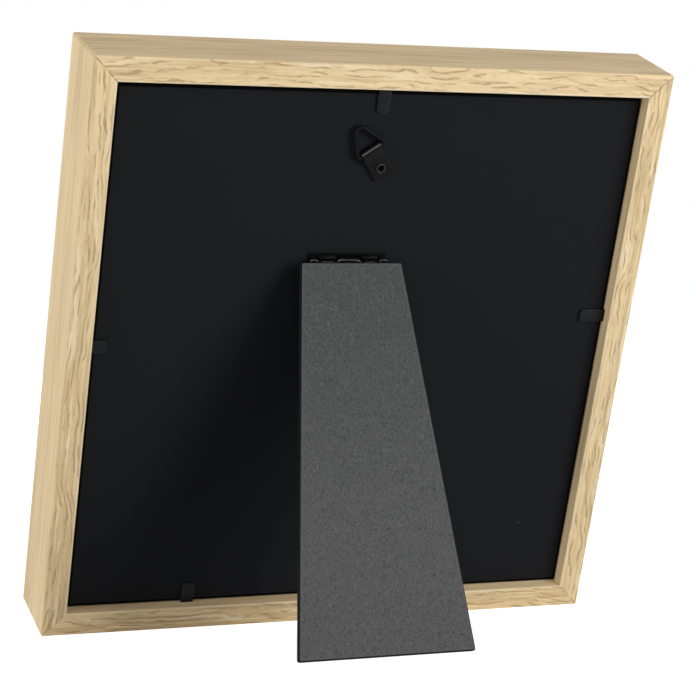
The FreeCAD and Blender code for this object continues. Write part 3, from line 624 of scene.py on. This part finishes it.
# Leg: a tapered blade of black fibreboard with rounded edges. Dark grey paper with short curved
# fibres is glued on its outer face, and the paper's rim is pressed down and rubbed lighter.
# The paper is painted lighter toward the foot, as painted light.
LEG_BLACK = (0.0065, 0.0065, 0.0070, 1)
LEG_BLACK_WORN = (0.016, 0.016, 0.016, 1)
CORE_GRIT_SCALE = (900, 900, 900)
CORE_WEAR_STEP = (0.5, 0.72)
CORE_GRIT_STRENGTH = 0.5
LEG_EDGE = 0.00022
PAPER_GREY = (0.078, 0.081, 0.080, 1)
PAPER_FOOT_LIT_GREY = (0.102, 0.104, 0.103, 1)
PAPER_FIBRE = (0.150, 0.153, 0.150, 1)
PAPER_PIT = (0.042, 0.043, 0.043, 1)
PAPER_NICK = (0.012, 0.012, 0.012, 1)
PAPER_RIM = (0.125, 0.128, 0.126, 1)
FOOT_LIGHT_STEP = (0.13, 0.03)
CURL_SCALE = (760, 420, 420)
CURL_STEP = (0.055, 0.012)
CURL_STRENGTH = 0.52
CURL_HEIGHT = 0.3
PATCH_SCALE = (620, 620, 620)
PATCH_STEP = (0.44, 0.58)
FIBRE_SCALE = (1300, 900, 900)
FIBRE_STEP = (0.52, 0.70)
FIBRE_STRENGTH = 0.35
PIT_SCALE = (1900, 1200, 1200)
PIT_STEP = (0.50, 0.64)
PIT_STRENGTH = 0.66
NICK_CELLS = 150
NICK_SHARE = 0.90
NICK_SIZE = 0.055
LEG_PAPER_ROUGHNESS = (0.62, 0.2)
LEG_PAPER_RELIEF = 0.00006
LEG_PAPER_STRENGTH = 0.8
PAPER_TOP = -0.0011
PAPER_FOOT = -0.1417
PAPER_HALF_TOP = 0.01915
PAPER_HALF_FOOT = 0.0330
PAPER_BASE = 0.00375
PAPER_FACE = 0.00395
PAPER_CORNER = 0.0004
RIM_STEPS = (0.0, 0.00005, 0.00012, 0.0002, 0.0003, 0.0004, 0.0006, 0.0009, 0.0014)
RIM_WIDTH = 0.0007
RIM_DROP = 0.00014
RIM_STRENGTH = 0.5
GRID_STEP = 0.002

black_core, core_tree, core_shader = new_material("black_leg_board", roughness=0.55, specular=0.06)
core_grit = stretched_noise(core_tree, object_place(core_tree), CORE_GRIT_SCALE, detail=4.0)
core_wear = step_between(core_tree, core_grit, *CORE_WEAR_STEP)
core_tree.links.new(blend_colours(core_tree, core_wear, LEG_BLACK, LEG_BLACK_WORN),
                    core_shader.inputs["Base Color"])
emboss(core_tree, core_shader, core_grit, LEG_PAPER_RELIEF, CORE_GRIT_STRENGTH)
new_piece("leg_board", broken_edges("leg_core", LEG_EDGE), (black_core, black_core),
          "leg", "leg_board", "leg_core")

grey_paper, leg_tree, leg_shader = new_material("grey_leg_paper", roughness=0.72, specular=0.10)
leg_place = object_place(leg_tree)
fibre = stretched_noise(leg_tree, leg_place, FIBRE_SCALE, detail=3.0, distortion=1.4)
pits = stretched_noise(leg_tree, leg_place, PIT_SCALE, detail=4.0, distortion=0.8)
curl = stretched_noise(leg_tree, leg_place, CURL_SCALE, detail=1.5, distortion=1.2)
patches = stretched_noise(leg_tree, leg_place, PATCH_SCALE, detail=1.0)
off_line = maths(leg_tree, "ABSOLUTE", maths(leg_tree, "SUBTRACT", curl, NOISE_MIDDLE))
curls = maths(leg_tree, "MULTIPLY", step_between(leg_tree, off_line, *CURL_STEP),
              step_between(leg_tree, patches, *PATCH_STEP))
# Painted light: the paper's grey is lighter toward the foot.
leg_height = axis_parts(leg_tree, leg_place)["Z"]
leg_colour = blend_colours(leg_tree, step_between(leg_tree, leg_height, *FOOT_LIGHT_STEP),
                           PAPER_GREY, PAPER_FOOT_LIT_GREY)
for mask, strength, colour in (
        (curls, CURL_STRENGTH, PAPER_FIBRE),
        (step_between(leg_tree, fibre, *FIBRE_STEP), FIBRE_STRENGTH, PAPER_FIBRE),
        (step_between(leg_tree, pits, *PIT_STEP), PIT_STRENGTH, PAPER_PIT)):
    amount = maths(leg_tree, "MULTIPLY", mask, strength)
    leg_colour = blend_colours(leg_tree, amount, leg_colour, colour)
nicks = sparse_spots(leg_tree, leg_place, NICK_CELLS, NICK_SHARE, NICK_SIZE)
leg_colour = blend_colours(leg_tree, nicks, leg_colour, PAPER_NICK)
rim = add_node(leg_tree, "ShaderNodeAttribute", {"attribute_name": "rim"}).outputs["Fac"]
leg_colour = blend_colours(leg_tree, rim, leg_colour, PAPER_RIM)
leg_tree.links.new(leg_colour, leg_shader.inputs["Base Color"])
leg_tree.links.new(raised(leg_tree, fibre, LEG_PAPER_ROUGHNESS), leg_shader.inputs["Roughness"])
ridges = maths(leg_tree, "ADD", fibre, maths(leg_tree, "MULTIPLY", curls, CURL_HEIGHT))
emboss(leg_tree, leg_shader, maths(leg_tree, "SUBTRACT", ridges, pits),
       LEG_PAPER_RELIEF, LEG_PAPER_STRENGTH)

OUT_OF_LEG = max(frame["nodes"]["leg_cover"].data.polygons,
                 key=lambda face: face.area * (face.normal.y > 0)).normal.copy()
LEG_UP = LEVEL.cross(OUT_OF_LEG)


def from_edge(length):
    """Distances from an edge up to the middle, close together in the rim and even past it."""
    rim_end = RIM_STEPS[-1]
    past_rim = length / 2 - rim_end
    count = max(1, round(past_rim / GRID_STEP))
    inner = [rim_end + past_rim * step / count for step in range(1, count + 1)]
    return list(RIM_STEPS) + inner


def paper_sheet():
    """Tapered sheet with rounded corners and a rim that is pressed down, with its rubbed share."""
    shape = bmesh.new()
    rim_layer = shape.verts.layers.float.new("rim")
    rim_end = RIM_STEPS[-1]
    rim_middle = RIM_WIDTH / 2
    length = PAPER_TOP - PAPER_FOOT
    near_rows = from_edge(length)
    rows = near_rows + [length - row for row in reversed(near_rows[:-1])]
    near_columns = from_edge(PAPER_HALF_FOOT + PAPER_HALF_TOP)
    mean_half = near_columns[-1]
    grid = []
    for row in rows:
        half = PAPER_HALF_TOP + (PAPER_HALF_FOOT - PAPER_HALF_TOP) * row / length
        end = min(row, length - row)
        if end < PAPER_CORNER:
            half -= PAPER_CORNER - math.sqrt(PAPER_CORNER ** 2 - (PAPER_CORNER - end) ** 2)
        left = [-half + column if column <= rim_end else
                -(half - rim_end) * (mean_half - column) / (mean_half - rim_end)
                for column in near_columns]
        line = left + [-across for across in reversed(left[:-1])]
        points = []
        for across in line:
            inward = min(end, half - abs(across))
            pressed = max(0.0, 1 - inward / RIM_WIDTH)
            out = PAPER_FACE - RIM_DROP * pressed ** 2
            point = shape.verts.new(PIN_PLACE + LEVEL * across + OUT_OF_LEG * out
                                    + LEG_UP * (PAPER_TOP - row))
            rubbed = max(0.0, 1 - abs(inward - rim_middle) / rim_middle)
            point[rim_layer] = rubbed * RIM_STRENGTH
            points.append(point)
        grid.append(points)
    for upper, lower in zip(grid, grid[1:]):
        for i in range(len(upper) - 1):
            shape.faces.new((upper[i], upper[i + 1], lower[i + 1], lower[i]))
    rim_edges = [edge for edge in shape.edges if edge.is_boundary]
    skirt = bmesh.ops.extrude_edge_only(shape, edges=rim_edges)["geom"]
    fallen = [item for item in skirt if isinstance(item, bmesh.types.BMVert)]
    for point in fallen:
        point.co += OUT_OF_LEG * (PAPER_BASE - (point.co - PIN_PLACE).dot(OUT_OF_LEG))
        point[rim_layer] = 0.0
    under = [edge for edge in shape.edges if edge.is_boundary]
    bmesh.ops.holes_fill(shape, edges=under, sides=0)
    return shape


new_piece("leg_paper", paper_sheet(), (grey_paper,), "leg", "leg_paper", "leg_cover")


# Hanger: a strap of thin steel folded round a triangular loop of wire and held to the board by a
# tubular rivet, which lets it swivel. All of it is black, with a painted highlight on the fold;
# its edges and eyelet are painted lighter, partly rubbed and partly a painted highlight.
HANGER_BLACK = (0.0075, 0.0068, 0.0070, 1)
HANGER_WEAR_AND_SHEEN = (0.012, 0.0110, 0.0115, 1)
HANGER_EDGE_HIGHLIGHT = (0.060, 0.060, 0.060, 1)
RING_BLACK = (0.0062, 0.0064, 0.0068, 1)
FOLD_HIGHLIGHT = (0.105, 0.105, 0.105, 1)
FOLD_HIGHLIGHT_RISE = math.radians(38)
FOLD_HIGHLIGHT_BAND = 0.00005
FOLD_HIGHLIGHT_WOBBLE_SCALE = (500, 500, 500)
HANGER_RELIEF = 0.00003
STRAP_EDGE = 0.00010
WIRE_RADIUS = 0.0008
WIRE_FACETS = 24
LOOP_HALF_BASE = 0.0059
LOOP_RISE = 0.0135
LOOP_CORNER = 0.0009
LOOP_APEX = 0.0022
BEND_STEPS = 14
RUN_STEPS = 3

# Radius, and height above the board, round the eyelet's section.
EYELET_PROFILE = (
    (0.00100, -0.0028), (0.00100, 0.00095), (0.00106, 0.00130), (0.00120, 0.00163),
    (0.00138, 0.00182), (0.00156, 0.00187), (0.00174, 0.00181), (0.00187, 0.00165),
    (0.00190, 0.00148), (0.00184, 0.00137), (0.00150, 0.00135), (0.00150, -0.0023),
    (0.00200, -0.0023), (0.00200, -0.0028))
EYELET_FACETS = 56

FOLD_PLACE = Vector(joints["loop_tilt"]["pos_m"])
LOOP_BASE = Vector(joints["loop_tilt"]["axis"])
LOOP_UP = OUT_OF_BACK.cross(LOOP_BASE)


def strap_material():
    """Black steel with a painted highlight along the shoulder of its fold."""
    made, tree, shader = new_material("black_strap_steel_with_painted_highlight", roughness=0.4, specular=0.05)
    place = object_place(tree)
    colour = steel_skin(tree, shader, place, HANGER_BLACK, HANGER_WEAR_AND_SHEEN, HANGER_RELIEF)
    shoulder = OUT_OF_BACK * math.cos(FOLD_HIGHLIGHT_RISE) + LOOP_UP * math.sin(FOLD_HIGHLIGHT_RISE)
    crest = max((vertex.co - FOLD_PLACE).dot(shoulder)
                for vertex in frame["nodes"]["hanger_strap"].data.vertices)
    from_fold = vector_maths(tree, "SUBTRACT", place, FOLD_PLACE).outputs[0]
    stands = vector_maths(tree, "DOT_PRODUCT", from_fold, shoulder).outputs["Value"]
    highlight_noise = stretched_noise(tree, place, FOLD_HIGHLIGHT_WOBBLE_SCALE)
    highlight_shift = maths(tree, "MULTIPLY", maths(tree, "SUBTRACT", highlight_noise, NOISE_MIDDLE), FOLD_HIGHLIGHT_BAND)
    ragged = maths(tree, "ADD", stands, highlight_shift)
    # Painted highlight along the shoulder of the fold.
    fold_highlight = step_between(tree, ragged, crest - FOLD_HIGHLIGHT_BAND, crest - FOLD_HIGHLIGHT_BAND / 3)
    tree.links.new(blend_colours(tree, fold_highlight, colour, FOLD_HIGHLIGHT), shader.inputs["Base Color"])
    return made


strap_steel = strap_material()
# Edges and eyelet are painted lighter: partly rubbed steel, partly a painted highlight.
ring_steel = steel_material(
    "black_ring_steel", RING_BLACK, HANGER_WEAR_AND_SHEEN, HANGER_RELIEF, specular=0.04)
hanger_edge = steel_material(
    "worn_and_highlit_hanger_edge", HANGER_WEAR_AND_SHEEN, HANGER_EDGE_HIGHLIGHT, HANGER_RELIEF, specular=0.06)
eyelet_steel = steel_material(
    "worn_and_highlit_eyelet_steel", HANGER_WEAR_AND_SHEEN, HANGER_EDGE_HIGHLIGHT, HANGER_RELIEF, specular=0.20)
new_piece("folded_strap", broken_edges("hanger_strap", STRAP_EDGE), (strap_steel, hanger_edge),
          "hanger", "hanger_steel", "hanger_strap")


def rounded_corner(before, corner, after, radius):
    """Points of the arc that rounds a corner between two neighbours."""
    back = (before - corner).normalized()
    ahead = (after - corner).normalized()
    half_turn = back.angle(ahead) / 2
    centre = corner + (back + ahead).normalized() * radius / math.sin(half_turn)
    first = corner + back * radius / math.tan(half_turn) - centre
    last = corner + ahead * radius / math.tan(half_turn) - centre
    return [centre + radius * first.slerp(last, step / BEND_STEPS)
            for step in range(BEND_STEPS + 1)]


def join_rings(shape, rings):
    """Faces from each ring of points to the next one, and from the last to the first."""
    count = len(rings[0])
    for ring, following in zip(rings, rings[1:] + rings[:1]):
        for i in range(count):
            j = (i + 1) % count
            shape.faces.new((ring[i], ring[j], following[j], following[i]))
    return shape


def ring_of_wire():
    """Closed triangle of round wire, its base in the strap's fold."""
    tip = FOLD_PLACE + LOOP_UP * LOOP_RISE
    ends = (FOLD_PLACE + LOOP_BASE * LOOP_HALF_BASE, FOLD_PLACE - LOOP_BASE * LOOP_HALF_BASE)
    bends = [rounded_corner(ends[1], ends[0], tip, LOOP_CORNER),
             rounded_corner(ends[0], tip, ends[1], LOOP_APEX),
             rounded_corner(tip, ends[1], ends[0], LOOP_CORNER)]
    path = []
    for bend, following in zip(bends, bends[1:] + bends[:1]):
        path += bend
        path += [bend[-1].lerp(following[0], step / (RUN_STEPS + 1))
                 for step in range(1, RUN_STEPS + 1)]
    shape = bmesh.new()
    turns = [math.tau * facet / WIRE_FACETS for facet in range(WIRE_FACETS)]
    rings = []
    for index, at in enumerate(path):
        along = (path[(index + 1) % len(path)] - path[index - 1]).normalized()
        side = along.cross(OUT_OF_BACK)
        rings.append([shape.verts.new(
            at + WIRE_RADIUS * (side * math.cos(turn) + OUT_OF_BACK * math.sin(turn)))
            for turn in turns])
    return join_rings(shape, rings)


new_piece("wire_loop", ring_of_wire(), (ring_steel,), "loop", "hanger_steel", "hanger_ring")


def spun_eyelet():
    """Tubular rivet with a rolled flange, spun round the swivel's axis."""
    middle = Vector(joints["hanger_swivel"]["pos_m"])
    upward = LEVEL.cross(OUT_OF_BACK)
    shape = bmesh.new()
    rings = []
    for facet in range(EYELET_FACETS):
        turn = math.tau * facet / EYELET_FACETS
        outward = LEVEL * math.cos(turn) + upward * math.sin(turn)
        rings.append([shape.verts.new(middle + outward * radius + OUT_OF_BACK * height)
                      for radius, height in EYELET_PROFILE])
    return join_rings(shape, rings)


new_piece("rolled_eyelet", spun_eyelet(), (eyelet_steel,),
          "frame", "hanger_steel", "hanger_eyelet")


# Studio: a pale floor, an even pale sky, and three large soft lamps. The strongest stands to the
# right of the camera, so that the leg's soft shadow falls to the left.
FLOOR_HALF = 6.0
FLOOR_PALE = (0.86, 0.86, 0.86, 1)
FLOOR_GLOW = 0.86
WHITE = (1.0, 1.0, 1.0, 1)
SKY_LEVEL = 0.32

# Name, place, width and power of each lamp.
LAMPS = (
    ("key_lamp", (-0.88, 1.10, 0.21), 0.78, 15.2),
    ("left_lamp", (1.58, 0.35, 0.25), 0.90, 13.0),
    ("front_lamp", (-0.40, -1.80, 0.35), 1.00, 11.0),
)
AIM = Vector((0, 0, 0.11))

floor_mesh = bpy.data.meshes.new("pale_floor")
floor_corners = [(-FLOOR_HALF, -FLOOR_HALF, 0), (FLOOR_HALF, -FLOOR_HALF, 0),
                 (FLOOR_HALF, FLOOR_HALF, 0), (-FLOOR_HALF, FLOOR_HALF, 0)]
floor_mesh.from_pydata(floor_corners, [], [(0, 1, 2, 3)])
floor = bpy.data.objects.new("pale_floor", floor_mesh)
bpy.context.scene.collection.objects.link(floor)
floor_material, floor_tree, floor_shader = new_material("pale_floor", roughness=0.9, specular=0.0)
floor_shader.inputs["Base Color"].default_value = FLOOR_PALE


def seen_directly(tree):
    """1 for rays from the camera, from a gloss or through glass."""
    rays = tree.nodes.new("ShaderNodeLightPath").outputs
    either = maths(tree, "ADD", rays["Is Camera Ray"], rays["Is Glossy Ray"])
    return maths(tree, "MINIMUM", maths(tree, "ADD", either, rays["Is Transmission Ray"]), 1.0)


floor_shader.inputs["Emission Color"].default_value = WHITE
floor_tree.links.new(maths(floor_tree, "MULTIPLY", seen_directly(floor_tree), FLOOR_GLOW),
                     floor_shader.inputs["Emission Strength"])
floor_mesh.materials.append(floor_material)

sky = bpy.data.worlds.new("pale_sky")
sky.use_nodes = True
sky_tree = sky.node_tree
sky_tree.nodes.clear()
soft = add_node(sky_tree, "ShaderNodeBackground", None, {"Color": WHITE, "Strength": SKY_LEVEL})
white = add_node(sky_tree, "ShaderNodeBackground", None, {"Color": WHITE, "Strength": 1.0})
mixed = add_node(sky_tree, "ShaderNodeMixShader", None, {
    0: seen_directly(sky_tree), 1: soft.outputs[0], 2: white.outputs[0]})
add_node(sky_tree, "ShaderNodeOutputWorld", None, {"Surface": mixed.outputs[0]})
bpy.context.scene.world = sky

for name, place, width, power in LAMPS:
    lamp = bpy.data.lights.new(name, "AREA")
    lamp.shape = "SQUARE"
    lamp.size = width
    lamp.energy = power
    stand = bpy.data.objects.new(name, lamp)
    bpy.context.scene.collection.objects.link(stand)
    stand.location = place
    stand.rotation_euler = (AIM - Vector(place)).to_track_quat("-Z", "Y").to_euler()


# Camera: behind the frame, a little above its middle and to its right as seen from the picture
# side, with a long lens.
CAMERA_AT = (0.310907, 0.782597, 0.139785)
CAMERA_TURN = (87.6749, -0.1090, 158.3764)
LENS = 117.589
SENSOR = 36.0
FURTHEST_SEEN = 50.0

camera = bpy.data.objects.new("camera", bpy.data.cameras.new("camera"))
bpy.context.scene.collection.objects.link(camera)
camera.location = CAMERA_AT
camera.rotation_euler = [math.radians(angle) for angle in CAMERA_TURN]
camera.data.lens = LENS
camera.data.sensor_width = SENSOR
camera.data.clip_end = FURTHEST_SEEN
bpy.context.scene.camera = camera
bpy.context.scene.view_settings.view_transform = "Standard"
